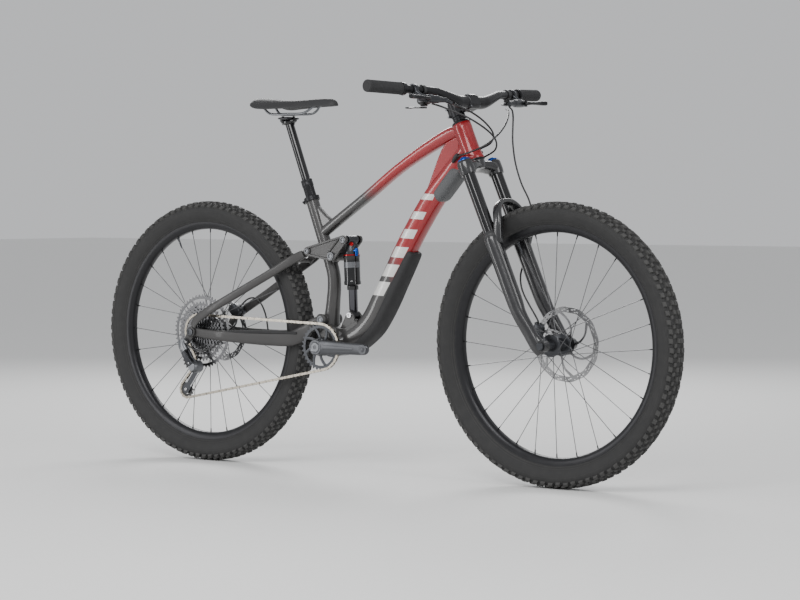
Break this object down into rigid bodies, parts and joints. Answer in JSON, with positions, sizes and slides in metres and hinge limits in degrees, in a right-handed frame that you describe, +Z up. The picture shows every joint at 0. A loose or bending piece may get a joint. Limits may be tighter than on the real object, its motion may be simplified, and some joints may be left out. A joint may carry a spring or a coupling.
{
  "type": "mountain bike",
  "caption": "Full suspension mountain bike with knobbly tyres, disc brakes, telescopic fork, coil-free rear shock, rocker link and height-adjustable seat post",
  "frame": {"origin": "on the ground, halfway between the two wheel axles and in the middle plane", "axes": "+Z up, +X towards the front wheel, +Y to the rider's left; the drive side is -Y"},
  "size_m": [1.966, 0.7898, 1.0707],
  "materials": {
    "frame_paint": "gloss deep red over the head end, fading to satin charcoal towards the cranks",
    "stay_paint": "satin charcoal paint",
    "guard_rubber": "matte moulded rubber",
    "black_alloy": "black anodised, satin",
    "gloss_black_alloy": "gloss black hard anodised",
    "fork_paint": "satin black paint",
    "saddle_cover": "matte black synthetic cover",
    "grip_rubber": "matte black rubber with alloy lock rings",
    "control_plastic": "fine matte black",
    "brake_alloy": "dark grey anodised",
    "tyre_rubber": "matte black knobbly tread",
    "rim_alloy": "satin black anodised",
    "spoke_steel": "bright drawn steel",
    "rotor_steel": "ground stainless steel",
    "chain_steel": "bright steel",
    "cog_steel": "grey steel cogs",
    "crank_alloy": "dark grey anodised",
    "derailleur_alloy": "silver grey satin",
    "pulley_plastic": "black moulded",
    "chromed_shaft": "polished damper shaft",
    "rail_steel": "grey steel",
    "hose_plastic": "black hose jacket"
  },
  "bodies": {
    "frame": {"front_frame": "frame_paint", "down_tube_guard": "guard_rubber", "seat_clamp": "black_alloy", "bottom_bracket": "black_alloy", "dropper_outer": "black_alloy", "chain": "chain_steel"},
    "seat": {"dropper_inner": "gloss_black_alloy", "saddle": "saddle_cover", "saddle_rails": "rail_steel", "saddle_clamp": "black_alloy"},
    "steering": {"fork_upper": "black_alloy", "headset": "black_alloy", "stem": "black_alloy", "stem_faceplate": "black_alloy", "handlebar": "black_alloy", "grip_left": "grip_rubber", "grip_right": "grip_rubber", "brake_master_left": "brake_alloy", "brake_master_right": "brake_alloy", "shifter_body": "control_plastic", "dropper_remote": "control_plastic", "front_brake_hose": "hose_plastic", "rear_brake_hose": "hose_plastic", "shift_housing": "hose_plastic", "dropper_housing": "hose_plastic"},
    "brake_lever_left_body": {"brake_lever_left": "brake_alloy"},
    "brake_lever_right_body": {"brake_lever_right": "brake_alloy"},
    "shift_paddle_body": {"shift_paddle": "control_plastic"},
    "release_paddle_body": {"release_paddle": "control_plastic"},
    "dropper_lever_body": {"dropper_lever": "control_plastic"},
    "fork_slider": {"fork_lowers": "fork_paint", "front_axle": "black_alloy", "front_caliper": "brake_alloy"},
    "front_wheel": {"front_tyre": "tyre_rubber", "front_rim": "rim_alloy", "front_hub": "black_alloy", "front_spokes": "spoke_steel", "front_rotor": "rotor_steel"},
    "swingarm": {"chainstays": "stay_paint", "rear_axle": "black_alloy", "derailleur_body": "derailleur_alloy", "shift_housing_tail": "hose_plastic"},
    "upper_stays": {"seatstays": "stay_paint", "rear_caliper": "brake_alloy", "rear_hose_tail": "hose_plastic"},
    "rocker": {"rocker_link": "stay_paint"},
    "shock_rod": {"shock_shaft": "chromed_shaft"},
    "shock_body": {"shock_can": "gloss_black_alloy"},
    "rear_wheel": {"rear_tyre": "tyre_rubber", "rear_rim": "rim_alloy", "rear_hub": "black_alloy", "rear_spokes": "spoke_steel", "rear_rotor": "rotor_steel"},
    "cogs": {"cassette": "cog_steel"},
    "crank": {"chainring": "crank_alloy", "crank_arm_right": "crank_alloy", "crank_arm_left": "crank_alloy"},
    "cage": {"derailleur_cage": "derailleur_alloy"},
    "guide_wheel": {"guide_pulley": "pulley_plastic"},
    "tension_wheel": {"tension_pulley": "pulley_plastic"}
  },
  "joints": [
    {"name": "steering_turn", "type": "hinge", "parent": "frame", "child": "steering", "pos_m": [0.34151, 0, 0.86164], "axis": [-0.4067, 0, 0.9135], "range_deg": [-50, 50], "deforming": ["rear_brake_hose", "shift_housing", "dropper_housing"]},
    {"name": "fork_travel", "type": "slide", "parent": "steering", "child": "fork_slider", "axis": [-0.4067, 0, 0.9135], "range_m": [0, 0.13], "stiffness_N_per_m": 5000, "springref_m": -0.03, "deforming": ["front_brake_hose"]},
    {"name": "front_wheel_spin", "type": "hinge", "parent": "fork_slider", "child": "front_wheel", "pos_m": [0.605, 0, 0.378], "axis": [0, 1, 0], "continuous": true},
    {"name": "brake_lever_left_squeeze", "type": "hinge", "parent": "steering", "child": "brake_lever_left_body", "pos_m": [0.35384, 0.22528, 1.0253], "axis": [0, 0, 1], "range_deg": [0, 16], "stiffness_Nm_per_rad": 1, "springref_deg": -5.73},
    {"name": "brake_lever_right_squeeze", "type": "hinge", "parent": "steering", "child": "brake_lever_right_body", "pos_m": [0.35384, -0.22528, 1.0253], "axis": [0, 0, -1], "range_deg": [0, 16], "stiffness_Nm_per_rad": 1, "springref_deg": -5.73},
    {"name": "shift_paddle_push", "type": "hinge", "parent": "steering", "child": "shift_paddle_body", "pos_m": [0.31405, -0.19572, 1.00434], "axis": [0, 0, 1], "range_deg": [0, 20], "stiffness_Nm_per_rad": 0.3, "springref_deg": -5.73},
    {"name": "release_paddle_pull", "type": "hinge", "parent": "steering", "child": "release_paddle_body", "pos_m": [0.31405, -0.19572, 1.00434], "axis": [0, 0, -1], "range_deg": [0, 15], "stiffness_Nm_per_rad": 0.3, "springref_deg": -5.73},
    {"name": "dropper_lever_push", "type": "hinge", "parent": "steering", "child": "dropper_lever_body", "pos_m": [0.30805, 0.19572, 1.02334], "axis": [0, 0, -1], "range_deg": [0, 18], "stiffness_Nm_per_rad": 0.5, "springref_deg": -5.73},
    {"name": "seat_post_drop", "type": "slide", "parent": "frame", "child": "seat", "axis": [-0.3567, 0, 0.9342], "range_m": [-0.15, 0], "stiffness_N_per_m": 250, "springref_m": 0.12},
    {"name": "swingarm_travel", "type": "hinge", "parent": "frame", "child": "swingarm", "pos_m": [-0.16, 0, 0.424], "axis": [0, 1, 0], "range_deg": [0, 17], "stiffness_Nm_per_rad": 400, "springref_deg": -14.32, "deforming": ["chain"]},
    {"name": "stay_pivot", "type": "hinge", "parent": "swingarm", "child": "upper_stays", "pos_m": [-0.605, 0, 0.378], "axis": [0, 1, 0], "range_deg": [-8, 0]},
    {"name": "rocker_pivot", "type": "hinge", "parent": "frame", "child": "rocker", "pos_m": [-0.125, 0, 0.603], "axis": [0, 1, 0], "range_deg": [0, 52]},
    {"name": "shock_foot_pivot", "type": "hinge", "parent": "frame", "child": "shock_rod", "pos_m": [-0.072, 0, 0.439], "axis": [0, 1, 0], "range_deg": [0, 8]},
    {"name": "shock_stroke", "type": "slide", "parent": "shock_rod", "child": "shock_body", "axis": [0.0476, 0, -0.9989], "range_m": [0, 0.05]},
    {"name": "rear_wheel_spin", "type": "hinge", "parent": "swingarm", "child": "rear_wheel", "pos_m": [-0.605, 0, 0.378], "axis": [0, 1, 0], "continuous": true},
    {"name": "cassette_spin", "type": "hinge", "parent": "swingarm", "child": "cogs", "pos_m": [-0.605, 0, 0.378], "axis": [0, 1, 0], "continuous": true},
    {"name": "crank_turn", "type": "hinge", "parent": "frame", "child": "crank", "pos_m": [-0.152, 0, 0.349], "axis": [0, 1, 0], "continuous": true},
    {"name": "cage_swing", "type": "hinge", "parent": "swingarm", "child": "cage", "pos_m": [-0.598, 0, 0.277], "axis": [0, -1, 0], "range_deg": [-5, 30], "stiffness_Nm_per_rad": 2},
    {"name": "guide_pulley_spin", "type": "hinge", "parent": "cage", "child": "guide_wheel", "pos_m": [-0.64, 0, 0.292], "axis": [0, 1, 0], "continuous": true},
    {"name": "tension_pulley_spin", "type": "hinge", "parent": "cage", "child": "tension_wheel", "pos_m": [-0.65, 0, 0.208], "axis": [0, 1, 0], "continuous": true}
  ],
  "couplings": [
    {"joint": "stay_pivot", "follows": "swingarm_travel", "ratio": -0.456},
    {"joint": "rocker_pivot", "follows": "swingarm_travel", "ratio": 3.026},
    {"joint": "shock_foot_pivot", "follows": "swingarm_travel", "ratio": 0.446},
    {"joint": "shock_stroke", "follows": "swingarm_travel", "m_per_rad": 0.1654},
    {"joint": "cassette_spin", "follows": "crank_turn", "ratio": 1.3333},
    {"joint": "guide_pulley_spin", "follows": "crank_turn", "ratio": -2.6667},
    {"joint": "tension_pulley_spin", "follows": "crank_turn", "ratio": 2.6667}
  ]
}
